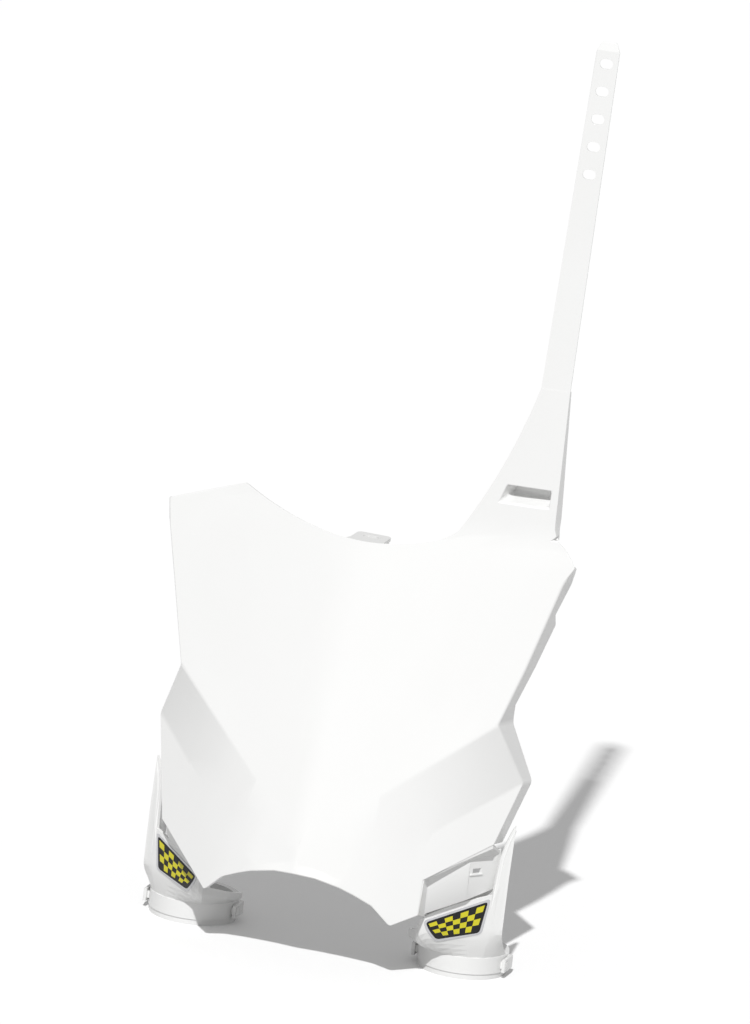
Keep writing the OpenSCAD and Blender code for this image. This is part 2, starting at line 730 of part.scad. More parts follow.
// The shroud's outline at its rim: place relative to the fork axis (x outward), and height of the rim there
wing_out = ring_r + 6;
rim_outline = [
    [-wing_out + 0.6, -8, wing_z],
    [-wing_out + 1.5, -18, wing_z + 2],
    [-wing_out + 5, -30, wing_z + 5],
    [-prow_in - 6.5, -prow_reach + 12, wing_z + 9],
    [-prow_in - 1.6, -prow_reach + 2.2, prow_z - 8],
    [-prow_in + 1, -prow_reach - 0.2, prow_z],
    [-prow_in + 5, on_shroud_line(-prow_in + 5)[1], prow_z + 3.2],
    [-2, on_shroud_line(-2)[1], mix(prow_z, rim_z, 0.5)],
    [12, on_shroud_line(12)[1], mix(prow_z, rim_z, 0.78)],
    [crease_out - 2, on_shroud_line(crease_out - 2)[1], rim_z],
    [crease_out, -crease_reach, peak_z - 24],
    [crease_out + flange_w * 0.35, -crease_reach + 1.6, peak_z - 12],
    [crease_out + flange_w * 0.75, -crease_reach + 3.4, peak_z - 3],
    [crease_out + flange_w, -crease_reach + 4.2, peak_z]
];
// Angle round the ring at which each station of the outline starts
foot_angles = [183, 195, 210, 228, 243, 252, 262, 275, 293, 313, 327, 338, 348, 357];
shroud_base = ring_h - 0.4;
shroud_foot = ring_h - 3.3;
flare_h = 24;
// Upper parts of the flange lean back a little
flange_lean = 0.1;
function shroud_point(k, s) =
    let (
        rim = rim_outline[k],
        flare = min(flare_h, 0.7 * (rim[2] - shroud_base)),
        low = shroud_base + flare,
        z = s <= 0 ? mix(shroud_base, shroud_foot, -s)
            : s < 0.6 ? mix(shroud_base, low, s / 0.6)
            : mix(low, rim[2], (s - 0.6) / 0.4),
        grow = s <= 0 ? 0 : sin(90 * min(1, s / 0.6)),
        aim = [rim[0], rim[1]],
        start = (ring_r - 0.4) * [cos(foot_angles[k]), sin(foot_angles[k])],
        p = mix(start, aim, grow)
    )
    [p[0], p[1] + flange_lean * max(0, z - rim_z), z];
shroud_levels = [-1, 0, 0.08, 0.17, 0.27, 0.38, 0.5, 0.6, 0.8, 1];

module shroud_wall_shell() {
    moulded_wall(
        [for (s = shroud_levels) [for (k = [0:len(rim_outline) - 1]) shroud_point(k, s)]],
        shroud_wall
    );
}

// A catch on each end of the front half, which the windows of the rear half snap over
tab_z = lip_h + 0.6;
window_wall = 1.9;
catch_front = tab_reach - window_wall - fit_gap;
catch_len = 5;
module catch_block() {
    rise = tab_t + 0.2;
    root = ring_r * cos(asin(catch_front / ring_r)) - 1;
    translate([root, -catch_front, tab_z + window_wall + fit_gap])
        cube([ring_r + fit_gap + rise - root, catch_len, tab_h - 2 * window_wall - 2 * fit_gap]);
}

module fork_shroud() {
    half_ring(180);
    shroud_wall_shell();
    for (s = [0, 1]) mirror([s, 0, 0]) catch_block();
}

// A latch tab of the rear half: a windowed plate that lies along the ring's side
module latch_tab() {
    inner_x = ring_r + fit_gap;
    root_y = 7;
    difference() {
        union() {
            translate([inner_x, -tab_reach, tab_z]) cube([tab_t, tab_reach + root_y, tab_h]);
            translate([bore_r + 1, 2, tab_z]) cube([inner_x + tab_t - bore_r - 1, root_y - 2, tab_h]);
        }
        translate([inner_x - 1, -catch_front - fit_gap, tab_z + window_wall])
            cube([tab_t + 2, catch_len + 2 * fit_gap, tab_h - 2 * window_wall]);
    }
}
module collar_clip() {
    half_ring(0);
    for (s = [0, 1]) mirror([s, 0, 0]) latch_tab();
}

// The sticker follows the shroud's front facet just under the rim
decal_ends = [-13.5, 23];
decal_steps = 10;
function decal_point(t, h) =
    let (
        dx = mix(decal_ends[0], decal_ends[1], t),
        rim = mix(prow_z, rim_z, (dx + prow_in) / (crease_out - 2 + prow_in)),
        top = rim - decal_drop,
        round = 1 - pow(abs(2 * t - 1), 12) * 0.35,
        z = top - decal_h * mix(0.72, 1, t) * mix(0.5 + 0.5 * round, 0.5 - 0.5 * round, h),
        grow = sin(90 * min(1, (z - shroud_base) / flare_h)),
        aim = on_shroud_line(dx),
        turn = lookup(dx, [for (k = [5:9]) [rim_outline[k][0], foot_angles[k]]]),
        start = (ring_r - 0.4) * [cos(turn), sin(turn)],
        p = mix(start, aim, grow) - (decal_t + 0.15) * shroud_in
    )
    [p[0], p[1], z];
module decal() {
    moulded_wall([for (h = [0:0.2:1]) [for (t = [0:decal_steps]) decal_point(t / decal_steps, h)]], decal_t);
}

module at_leg(side) {
    if (side > 0) translate([leg_x, 0, 0]) children();
    else mirror([1, 0, 0]) translate([leg_x, 0, 0]) children();
}
module fork_shroud_left() { color(plastic) at_leg(-1) fork_shroud(); }
module fork_shroud_right() { color(plastic) at_leg(1) fork_shroud(); }
module collar_clip_left() { color(clip_plastic) at_leg(-1) collar_clip(); }
module collar_clip_right() { color(clip_plastic) at_leg(1) collar_clip(); }
module decal_left() { color([0.85, 0.82, 0.1]) at_leg(-1) decal(); }
module decal_right() { color([0.85, 0.82, 0.1]) at_leg(1) decal(); }

number_plate();
fork_shroud_left();
fork_shroud_right();
collar_clip_left();
collar_clip_right();
decal_left();
decal_right();
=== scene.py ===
"""Studio scene of an off-road motorcycle's front number plate with its two fork shrouds."""

import logging
import math
from dataclasses import dataclass
from enum import Enum

import bmesh
import bpy
from mathutils import Matrix, Vector


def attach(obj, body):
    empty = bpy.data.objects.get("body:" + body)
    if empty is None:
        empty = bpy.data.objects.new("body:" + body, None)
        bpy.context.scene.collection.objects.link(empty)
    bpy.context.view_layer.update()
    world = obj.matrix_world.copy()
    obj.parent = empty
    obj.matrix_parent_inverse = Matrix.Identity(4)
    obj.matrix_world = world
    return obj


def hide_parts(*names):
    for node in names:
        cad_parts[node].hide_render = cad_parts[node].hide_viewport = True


LOG = logging.getLogger("number_plate_scene")
MM = 0.001
Colour = tuple[float, float, float]
Place = tuple[float, float, float]
Socket = bpy.types.NodeSocket

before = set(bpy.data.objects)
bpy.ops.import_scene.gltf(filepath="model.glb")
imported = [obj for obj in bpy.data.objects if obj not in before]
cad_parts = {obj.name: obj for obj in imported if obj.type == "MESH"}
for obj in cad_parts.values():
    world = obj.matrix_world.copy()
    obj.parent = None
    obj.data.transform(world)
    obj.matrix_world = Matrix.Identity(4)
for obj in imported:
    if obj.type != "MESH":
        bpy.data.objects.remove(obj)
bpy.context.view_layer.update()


class Side(Enum):
    """The two fork legs, as seen from the front."""

    LEFT = -1
    RIGHT = 1


def link_mesh(name: str, mesh: bpy.types.Mesh) -> bpy.types.Object:
    """Puts a mesh into the scene as an object at the origin.

    Args:
        name: The piece's name.
        mesh: Its mesh, in place in the row frame.

    Returns:
        The new object.
    """
    piece = bpy.data.objects.new(name, mesh)
    bpy.context.scene.collection.objects.link(piece)
    return piece


@dataclass(frozen=True)
class Mottle:
    """A faint unevenness of tone and sheen, fixed to the piece."""

    scale: float
    detail: float
    smoother: float
    rougher: float

    def dress(self, made: bpy.types.Material, tones: tuple[Colour, Colour], roughness: float) -> None:
        """Links the unevenness to a material's colour and roughness.

        Args:
            made: The node material.
            tones: The two colours between which the tone wanders.
            roughness: The middle roughness.
        """
        nodes, links = made.node_tree.nodes, made.node_tree.links
        shader = nodes["Principled BSDF"]
        place = nodes.new("ShaderNodeTexCoord")
        noise = nodes.new("ShaderNodeTexNoise")
        noise.inputs["Scale"].default_value = self.scale
        noise.inputs["Detail"].default_value = self.detail
        links.new(place.outputs["Object"], noise.inputs["Vector"])
        tone = nodes.new("ShaderNodeMix")
        tone.data_type = "RGBA"
        tone.inputs[6].default_value = (*tones[0], 1)
        tone.inputs[7].default_value = (*tones[1], 1)
        links.new(noise.outputs["Fac"], tone.inputs[0])
        links.new(tone.outputs[2], shader.inputs["Base Color"])
        sheen = nodes.new("ShaderNodeMapRange")
        sheen.inputs["To Min"].default_value = roughness - self.smoother
        sheen.inputs["To Max"].default_value = roughness + self.rougher
        links.new(noise.outputs["Fac"], sheen.inputs["Value"])
        links.new(sheen.outputs["Result"], shader.inputs["Roughness"])


@dataclass(frozen=True)
class MouldedPlastic:
    """Glossy injection-moulded plastic with a faint flow mottle and a very fine surface ripple."""

    name: str
    colour: Colour
    pale: Colour
    roughness: float = 0.3
    coat: float = 0.25
    coat_roughness: float = 0.12
    refraction: float = 1.49
    flow: Mottle = Mottle(scale=14.0, detail=3.0, smoother=0.04, rougher=0.05)
    ripple: float = 0.02
    ripple_scale: float = 900.0
    ripple_detail: float = 2.0
    ripple_height: float = 0.0004

    def material(self) -> bpy.types.Material:
        """Builds the node material.

        Returns:
            The new material.
        """
        made = bpy.data.materials.new(self.name)
        made.use_nodes = True
        nodes, links = made.node_tree.nodes, made.node_tree.links
        shader = nodes["Principled BSDF"]
        shader.inputs["Coat Weight"].default_value = self.coat
        shader.inputs["Coat Roughness"].default_value = self.coat_roughness
        shader.inputs["IOR"].default_value = self.refraction
        self.flow.dress(made, (self.colour, self.pale), self.roughness)
        place = nodes.new("ShaderNodeTexCoord")
        grain = nodes.new("ShaderNodeTexNoise")
        grain.inputs["Scale"].default_value = self.ripple_scale
        grain.inputs["Detail"].default_value = self.ripple_detail
        links.new(place.outputs["Object"], grain.inputs["Vector"])
        bump = nodes.new("ShaderNodeBump")
        bump.inputs["Strength"].default_value = self.ripple
        bump.inputs["Distance"].default_value = self.ripple_height
        links.new(grain.outputs["Fac"], bump.inputs["Height"])
        links.new(bump.outputs["Normal"], shader.inputs["Normal"])
        return made


WHITE = MouldedPlastic("white_plastic", (0.93, 0.93, 0.925), (0.9, 0.9, 0.89))
CLIP_WHITE = MouldedPlastic("clip_white_plastic", (0.9, 0.9, 0.895), (0.86, 0.86, 0.85), roughness=0.16)


@dataclass(frozen=True)
class PlateDrape:
    """Small shifts of the plate's surface, in millimetres, that let it flow as in the photograph."""

    skirt_line: tuple[tuple[float, float], ...] = ((85.0, -50.4), (114.9, -33.9), (130.7, -19.0))
    skirt_reach: float = 4.0
    skirt_top: float = 100.5
    skirt_forward: float = 8.5
    rim_start: tuple[float, float] = (84.5, 45.5)
    rim_rise: float = 0.467
    tuck_back: float = 4.0
    slit: tuple[float, float] = (3.2, 3.7)
    heel_places: tuple[Place, ...] = ((135.2, 3.6, 330.5), (133.4, 3.6, 332.1))
    heel_shift: Place = (5.0, 0.5, 0.3)
    heel_reach: float = 0.5
    heel_middle: tuple[float, float] = (136.0, 333.0)
    heel_zone: float = 10.0
    shelf_half: float = 24.0
    shelf_from_z: float = 295.0
    shelf_from_y: float = -23.9
    hook_x: tuple[float, float] = (112.0, 133.0)
    hook_z: tuple[float, float] = (76.0, 110.0)
    end_play: float = 0.8

    def on_skirt(self, place: Vector) -> bool:
        """Tells whether a place belongs to one of the panels that hang behind the shrouds' rims.

        Args:
            place: The place, in millimetres.

        Returns:
            True on a panel.
        """
        line = self.skirt_line
        if not line[0][0] <= abs(place.x) <= line[-1][0] + self.end_play or place.z > self.skirt_top:
            return False
        (x0, y0), (x1, y1) = line[:2] if abs(place.x) < line[1][0] else line[1:]
        return abs(place.y - y0 - (abs(place.x) - x0) * (y1 - y0) / (x1 - x0)) < self.skirt_reach

    def above_rim(self, place: Vector) -> float:
        """Height of a place above the line of the shroud's rim."""
        return place.z - self.rim_start[1] - (abs(place.x) - self.rim_start[0]) * self.rim_rise

    def cut(self, shape: bmesh.types.BMesh) -> None:
        """Cuts the skirts just above the shrouds' rims, where the dark slit runs.

        Args:
            shape: The plate's shape, in metres.
        """
        for side in Side:
            for height in self.slit:
                own = {v for v in shape.verts if v.co.x * side.value > 0 and self.on_skirt(v.co / MM)}
                faces = [f for f in shape.faces if all(v in own for v in f.verts)]
                parts = {*faces, *(e for f in faces for e in f.edges), *(v for f in faces for v in f.verts)}
                start = Vector((side.value * self.rim_start[0], 0, self.rim_start[1] + height)) * MM
                across = Vector((-side.value * self.rim_rise, 0, 1)).normalized()
                bmesh.ops.bisect_plane(shape, geom=list(parts), plane_co=start, plane_no=across)

    def moved(self, place: Vector) -> Vector:
        """Lays a place of the plate's solid on its dressed surface.

        Args:
            place: The place, in millimetres.

        Returns:
            Its new place, which is the same one over most of the plate.
        """
        if self.on_skirt(place):
            turn, end = self.skirt_line[1][0], self.skirt_line[2][0]
            share = min(1.0, max(0.0, (end - abs(place.x)) / (end - turn)))
            forward = self.skirt_forward if self.above_rim(place) > sum(self.slit) / 2 else -self.tuck_back
            return place - Vector((0, forward * share, 0))
        if any((place - Vector(heel)).length < self.heel_reach for heel in self.heel_places):
            return place + Vector(self.heel_shift)
        return place

    def crowded(self, place: Vector) -> bool:
        """Tells whether small details crowd here, so that only a fine rounding fits.

        Args:
            place: The place, in millimetres.

        Returns:
            True on the rear shelf, at the strap's heel and on the hooks.
        """
        shelf = abs(place.x) < self.shelf_half and place.z > self.shelf_from_z and place.y > self.shelf_from_y
        heel = math.hypot(place.x - self.heel_middle[0], place.z - self.heel_middle[1]) < self.heel_zone
        hook = self.hook_x[0] < abs(place.x) < self.hook_x[1] and self.hook_z[0] < place.z < self.hook_z[1]
        return shelf or heel or hook


@dataclass(frozen=True)
class EdgeFinish:
    """How a moulded piece's rims and creases are rounded. Lengths are in millimetres."""

    rim_radius: float = 0.8
    crease_radius: float = 0.8
    rim_degrees: float = 34.0
    crease_degrees: float = 8.0
    segments: int = 3
    straight: float = -0.8
    fine_radius: float = 0.3
    least_radius: float = 0.08
    room_share: float = 0.4
    merge_distance: float = 3e-5
    flat_degrees: float = 0.8
    normal_weight: int = 50
    drape: PlateDrape | None = None

    @property
    def widest(self) -> float:
        """The widest rounding."""
        return max(self.rim_radius, self.crease_radius)

    def gap(self, point: Vector, start: Vector, end: Vector) -> tuple[float, bool]:
        """Measures from a point to a segment.

        Args:
            point: The point.
            start: The segment's first end.
            end: The segment's other end.

        Returns:
            The distance, and whether the point carries the segment on in nearly its line.
        """
        along = end - start
        share = (point - start).dot(along) / along.length_squared
        near = start if share < 0 else end if share > 1 else start + along * share
        away = point - near
        in_line = abs(away.dot(along.normalized())) > -self.straight * away.length
        return away.length, in_line and not 0 <= share <= 1

    def room(self, edge: bmesh.types.BMEdge) -> float:
        """Measures how far an edge's rounding can reach over its faces before it meets another edge.

        Args:
            edge: The edge.

        Returns:
            The reach in metres.
        """
        start, end = (v.co for v in edge.verts)
        reach = self.widest * MM / self.room_share
        for face in edge.link_faces:
            for vert in face.verts:
                if vert not in edge.verts:
                    distance, carries_on = self.gap(vert.co, start, end)
                    reach = reach if carries_on else min(reach, distance)
            for side in face.edges:
                if not any(v in edge.verts for v in side.verts):
                    low, high = (v.co for v in side.verts)
                    reach = min(reach, *(self.gap(v.co, low, high)[0] for v in edge.verts))
        return self.room_share * reach

    def weight(self, edge: bmesh.types.BMEdge) -> float:
        """Chooses an edge's share of the widest rounding, less where there is little room.

        Args:
            edge: The edge.

        Returns:
            The share, or 0 where the edge stays as it is.
        """
        if len(edge.link_faces) != 2:
            return 0.0
        fold = math.degrees(edge.calc_face_angle(0))
        if fold < self.crease_degrees:
            return 0.0
        wanted = self.rim_radius if fold >= self.rim_degrees else self.crease_radius
        if self.drape and any(self.drape.crowded(v.co / MM) for v in edge.verts):
            wanted = self.fine_radius
        given = min(wanted, self.room(edge) / MM)
        return given / self.widest if given > self.least_radius else 0.0

    def even_out(self, shape: bmesh.types.BMesh, weights: bmesh.types.BMLayerItem) -> None:
        """Gives edges that carry each other on one width, so that their roundings meet cleanly.

        Args:
            shape: The piece's shape.
            weights: The layer that holds each edge's share of the widest rounding.
        """
        pairs = []
        for vert in shape.verts:
            rounded = [e for e in vert.link_edges if e[weights] > 0]
            for i, first in enumerate(rounded):
                for second in rounded[i + 1:]:
                    a, b = ((e.other_vert(vert).co - vert.co).normalized() for e in (first, second))
                    if a.dot(b) < self.straight:
                        pairs.append((first, second))
        changed = True
        while changed:
            changed = False
            for first, second in pairs:
                least = min(first[weights], second[weights])
                if first[weights] != second[weights]:
                    first[weights] = second[weights] = least
                    changed = True

    def finished_copy(self, node_name: str, piece_name: str) -> bpy.types.Object:
        """Makes a piece from a CAD node's solid, with smooth faces, rounded rims and softened creases.

        Args:
            node_name: The CAD node whose shape is taken.
            piece_name: The new piece's name.

        Returns:
            The finished piece, which replaces the node.
        """
        shape = bmesh.new()
        shape.from_mesh(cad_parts[node_name].data)
        bmesh.ops.remove_doubles(shape, verts=shape.verts, dist=self.merge_distance)
        bmesh.ops.dissolve_degenerate(shape, edges=shape.edges, dist=self.merge_distance)
        flat = math.radians(self.flat_degrees)
        bmesh.ops.dissolve_limit(shape, angle_limit=flat, verts=shape.verts, edges=shape.edges)
        if self.drape:
            self.drape.cut(shape)
            for vert in shape.verts:
                vert.co = self.drape.moved(vert.co / MM) * MM
        weights = shape.edges.layers.float.new("bevel_weight_edge")
        for face in shape.faces:
            face.smooth = True
        for edge in shape.edges:
            edge[weights] = self.weight(edge)
            fold = math.degrees(edge.calc_face_angle(0)) if len(edge.link_faces) == 2 else 180.0
            edge.smooth = fold < self.rim_degrees
        self.even_out(shape, weights)
        mesh = bpy.data.meshes.new(piece_name)
        shape.to_mesh(mesh)
        shape.free()
        piece = link_mesh(piece_name, mesh)
        rounding = piece.modifiers.new("rounded_edges", "BEVEL")
        rounding.width = self.widest * MM
        rounding.segments = self.segments
        rounding.limit_method = "WEIGHT"
        rounding.use_clamp_overlap = self.drape is None
        shading = piece.modifiers.new("even_shading", "WEIGHTED_NORMAL")
        shading.keep_sharp = True
        shading.weight = self.normal_weight
        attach(piece, "root")
        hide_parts(node_name)
        return piece


@dataclass(frozen=True)
class StickerFilm:
    """Printed vinyl film with a clear gloss coat and a trace of uneven ink."""

    name: str
    colour: Colour
    roughness: float = 0.22
    metallic: float = 0.0
    gloss: float = 0.4
    gloss_roughness: float = 0.08
    shine: float = 0.3
    thin_ink: float = 0.86
    ink: Mottle = Mottle(scale=260.0, detail=4.0, smoother=0.03, rougher=0.06)

    def material(self) -> bpy.types.Material:
        """Builds the node material.

        Returns:
            The new material.
        """
        made = bpy.data.materials.new(self.name)
        made.use_nodes = True
        shader = made.node_tree.nodes["Principled BSDF"]
        shader.inputs["Metallic"].default_value = self.metallic
        shader.inputs["Coat Weight"].default_value = self.gloss
        shader.inputs["Coat Roughness"].default_value = self.gloss_roughness
        shader.inputs["Specular IOR Level"].default_value = self.shine
        thin = tuple(self.thin_ink * c for c in self.colour)
        self.ink.dress(made, (self.colour, thin), self.roughness)
        return made


BORDER_FILM = StickerFilm("sticker_border", (0.66, 0.66, 0.68), roughness=0.3, metallic=0.3)
GROUND_FILM = StickerFilm("sticker_ground", (0.008, 0.008, 0.008), roughness=0.4, gloss=0.08)
ACCENT_FILM = StickerFilm("sticker_accent", (0.75, 0.68, 0.012))


def rounded_outline(corners: list[Vector], radius: float, steps: int = 5) -> list[Vector]:
    """Rounds the corners of a closed outline.

    Args:
        corners: The outline's corners, in order.
        radius: Distance from each corner at which its curve starts.
        steps: Segments in each curve.

    Returns:
        The rounded outline's points.
    """
    points: list[Vector] = []
    for i, tip in enumerate(corners):
        before, after = corners[i - 1], corners[(i + 1) % len(corners)]
        start = tip + (before - tip).normalized() * radius
        end = tip + (after - tip).normalized() * radius
        for k in range(steps + 1):
            share = k / steps
            points.append(start * (1 - share) ** 2 + tip * 2 * share * (1 - share) + end * share**2)
    return points


class Layer(Enum):
    """The sticker's printed layers, from the shroud outward."""

    BORDER = "border"
    GROUND = "ground"
    ACCENT = "accent"


@dataclass(frozen=True)
class FilmLayer:
    """The sizes of one printed layer, in millimetres: how far in from the edge, and how high it lies."""

    kind: Layer
    inset: float
    corner: float
    back: float
    face: float


@dataclass(frozen=True)
class ChequeredBand:
    """A band of tiles in the unit square, of which every second one is printed."""

    across: int = 7
    down: int = 4

    @staticmethod
    def reckon(tree: bpy.types.NodeTree, operation: str, *values: Socket | float) -> Socket:
        """Adds a Math node to a tree.

        Args:
            tree: The tree.
            operation: The node's operation.
            values: What it works on, as sockets or numbers.

        Returns:
            The node's result.
        """
        node = tree.nodes.new("ShaderNodeMath")
        node.operation = operation
        for value, socket in zip(values, node.inputs):
            if isinstance(value, Socket):
                tree.links.new(value, socket)
            else:
                socket.default_value = value
        return node.outputs[0]

    @staticmethod
    def grid(tree: bpy.types.NodeTree, sizes: list[Socket], counts: tuple[Socket | int, ...]) -> Socket:
        """Adds a Grid node to a tree.

        Args:
            tree: The tree.
            sizes: The sockets that give its size in X and Y.
            counts: Its vertices in X and Y, as sockets or numbers.

        Returns:
            The grid's mesh.
        """
        node = tree.nodes.new("GeometryNodeMeshGrid")
        for axis, size, count in zip("XY", sizes, counts):
            tree.links.new(size, node.inputs["Size " + axis])
            if isinstance(count, Socket):
                tree.links.new(count, node.inputs["Vertices " + axis])
            else:
                node.inputs["Vertices " + axis].default_value = count
        return node.outputs["Mesh"]

    def tree(self) -> bpy.types.NodeTree:
        """Builds the tree that puts a tile on every second place of the band.

        Returns:
            The tree, whose inputs are the tiles across, the tiles down and the film.
        """
        tree = bpy.data.node_groups.new("chequered_band", "GeometryNodeTree")
        tree.interface.new_socket(name="Tiles across", in_out="INPUT", socket_type="NodeSocketInt")
        tree.interface.new_socket(name="Tiles down", in_out="INPUT", socket_type="NodeSocketInt")
        tree.interface.new_socket(name="Film", in_out="INPUT", socket_type="NodeSocketMaterial")
        tree.interface.new_socket(name="Band", in_out="OUTPUT", socket_type="NodeSocketGeometry")
        given = tree.nodes.new("NodeGroupInput").outputs
        across, down = given["Tiles across"], given["Tiles down"]
        tile_size = [self.reckon(tree, "DIVIDE", 1.0, count) for count in (across, down)]
        between = [self.reckon(tree, "SUBTRACT", 1.0, size) for size in tile_size]
        index = tree.nodes.new("GeometryNodeInputIndex").outputs[0]
        column = self.reckon(tree, "FLOOR", self.reckon(tree, "DIVIDE", index, down))
        row = self.reckon(tree, "MODULO", index, down)
        odd = self.reckon(tree, "MODULO", self.reckon(tree, "ADD", column, row), 2.0)
        laid = tree.nodes.new("GeometryNodeInstanceOnPoints")
        tree.links.new(self.grid(tree, between, (across, down)), laid.inputs["Points"])
        tree.links.new(self.grid(tree, tile_size, (2, 2)), laid.inputs["Instance"])
        tree.links.new(self.reckon(tree, "LESS_THAN", odd, 0.5), laid.inputs["Selection"])
        whole = tree.nodes.new("GeometryNodeRealizeInstances")
        tree.links.new(laid.outputs["Instances"], whole.inputs["Geometry"])
        dressed = tree.nodes.new("GeometryNodeSetMaterial")
        tree.links.new(whole.outputs["Geometry"], dressed.inputs["Geometry"])
        tree.links.new(given["Film"], dressed.inputs["Material"])
        end = tree.nodes.new("NodeGroupOutput")
        tree.links.new(dressed.outputs["Geometry"], end.inputs["Band"])
        return tree

    def mesh(self, film: bpy.types.Material) -> bpy.types.Mesh:
        """Makes the flat band, centred on the origin.

        Args:
            film: The film of its tiles.

        Returns:
            The plain mesh, one face for each printed tile.
        """
        tree = self.tree()
        carrier = link_mesh("band_carrier", bpy.data.meshes.new("band_carrier"))
        repeat = carrier.modifiers.new("chequered_band", "NODES")
        repeat.node_group = tree
        values = {"Tiles across": self.across, "Tiles down": self.down, "Film": film}
        for socket in tree.interface.items_tree:
            if socket.name in values:
                repeat[socket.identifier] = values[socket.name]
        seen = carrier.evaluated_get(bpy.context.evaluated_depsgraph_get())
        flat = bpy.data.meshes.new_from_object(seen)
        carrier.modifiers.remove(repeat)
        bpy.data.objects.remove(carrier)
        bpy.data.node_groups.remove(tree)
        return flat


@dataclass
class ForkSticker:
    """The sticker on the front of a shroud, laid on its flare. Lengths are in millimetres."""

    side: Side
    leg_x: float = 105.0
    ring_radius: float = 33.5
    seat: float = 0.4
    base_z: float = 16.6
    flare_height: float = 24.0
    line_start: tuple[float, float] = (-20.5, -54.5)
    line_end: tuple[float, float] = (27.5, -28.0)
    rim_start: tuple[float, float] = (-20.5, 45.5)
    rim_end: tuple[float, float] = (25.5, 67.0)
    foot_angles: tuple[tuple[float, float], ...] = (
        (-19.5, 252),
        (-15.5, 262),
        (-2, 275),
        (12, 293),
        (25.5, 313),
    )
    corners: tuple[tuple[float, float], ...] = ((-17.5, 2.2), (25.0, 2.2), (21.5, 28.0), (-11.5, 21.5))
    middle: tuple[float, float] = (5.0, 12.5)
    facet: float = 2.5
    layers: tuple[FilmLayer, ...] = (
        FilmLayer(Layer.BORDER, inset=0.0, corner=3.0, back=0.1, face=0.45),
        FilmLayer(Layer.GROUND, inset=1.7, corner=2.4, back=0.3, face=0.55),
        FilmLayer(Layer.ACCENT, inset=3.6, corner=0.0, back=0.4, face=0.62),
    )
    band: ChequeredBand = ChequeredBand()

    def foot_angle(self, dx: float) -> float:
        """Finds the angle round the collar from which the shroud rises to a place.

        Args:
            dx: The place's distance outward of the fork axis.

        Returns:
            The angle in degrees.
        """
        table = self.foot_angles
        for (x0, a0), (x1, a1) in zip(table, table[1:]):
            if dx <= x1:
                return a0 + (a1 - a0) * max(0.0, (dx - x0) / (x1 - x0))
        return table[-1][1]

    def on_shroud(self, dx: float, drop: float, lift: float) -> Vector:
        """Finds a place on the shroud's front.

        Args:
            dx: Distance outward of the fork axis.
            drop: Distance below the rim.
            lift: Distance in front of the shroud's surface.

        Returns:
            The place in the row frame, in metres.
        """
        (x0, y0), (x1, y1) = self.line_start, self.line_end
        (rim_x0, rim_z0), (rim_x1, rim_z1) = self.rim_start, self.rim_end
        z = rim_z0 + (rim_z1 - rim_z0) * (dx - rim_x0) / (rim_x1 - rim_x0) - drop
        grow = math.sin(math.pi / 2 * min(1.0, (z - self.base_z) / self.flare_height))
        aim = Vector((dx, y0 + (dx - x0) * (y1 - y0) / (x1 - x0)))
        turn = math.radians(self.foot_angle(dx))
        start = Vector((math.cos(turn), math.sin(turn))) * (self.ring_radius - self.seat)
        outward = Vector((y1 - y0, -(x1 - x0))).normalized()
        place = start * (1 - grow) + aim * grow + outward * lift
        return Vector((self.side.value * (self.leg_x + place.x), place.y, z)) * MM

    def patch(self, outline: list[Vector], low: float, high: float) -> bmesh.types.BMesh:
        """Makes a thin sheet of film that follows the shroud.

        Args:
            outline: Its outline, as distance outward of the fork axis and drop below the rim.
            low: Height of its back above the shroud.
            high: Height of its face.

        Returns:
            The closed sheet.
        """
        sheet = bmesh.new()
        sheet.faces.new([sheet.verts.new((p.x, p.y, 0)) for p in outline])
        for axis in (0, 1):
            values = [v.co[axis] for v in sheet.verts]
            cut = math.floor(min(values) / self.facet) + 1
            while cut * self.facet < max(values):
                place, normal = Vector(), Vector()
                place[axis], normal[axis] = cut * self.facet, 1.0
                whole = [*sheet.verts, *sheet.edges, *sheet.faces]
                bmesh.ops.bisect_plane(sheet, geom=whole, plane_co=place, plane_no=normal)
                cut += 1
        flat = {v: v.co.copy() for v in sheet.verts}
        backs = {v: sheet.verts.new(self.on_shroud(c.x, c.y, low)) for v, c in flat.items()}
        fronts = list(sheet.faces)
        rims = [e for e in sheet.edges if len(e.link_faces) == 1]
        for face in fronts:
            sheet.faces.new([backs[v] for v in reversed(face.verts)])
        for edge in rims:
            a, b = edge.verts
            sheet.faces.new([a, b, backs[b], backs[a]])
        for v, c in flat.items():
            v.co = self.on_shroud(c.x, c.y, high)
        bmesh.ops.recalc_face_normals(sheet, faces=sheet.faces)
        return sheet

    def inset(self, amount: float) -> list[Vector]:
        """Draws the sticker's corners in from its edge.

        Args:
            amount: How far, along both directions.

        Returns:
            The corners, in order.
        """
        drawn_in = []
        for x, y in self.corners:
            across = math.copysign(amount, self.middle[0] - x)
            drawn_in.append(Vector((x + across, y + math.copysign(amount, self.middle[1] - y))))
        return drawn_in

    def tile_outlines(self, inset: float, film: bpy.types.Material) -> list[list[Vector]]:
        """Lays the band's tiles between the corners, as slanted cells that widen outward.

        Args:
            inset: How far the band is drawn in from the sticker's edge.
            film: The film of the tiles.

        Returns:
            The outline of each printed tile.
        """
        top_left, top_right, low_right, low_left = self.inset(inset)
        flat = self.band.mesh(film)
        outlines = []
        for tile in flat.polygons:
            outline = []
            for corner in tile.vertices:
                along, down, _ = flat.vertices[corner].co + Vector((0.5, 0.5, 0))
                top, low = top_left.lerp(top_right, along), low_left.lerp(low_right, along)
                outline.append(top.lerp(low, down))
            outlines.append(outline)
        bpy.data.meshes.remove(flat)
        return outlines

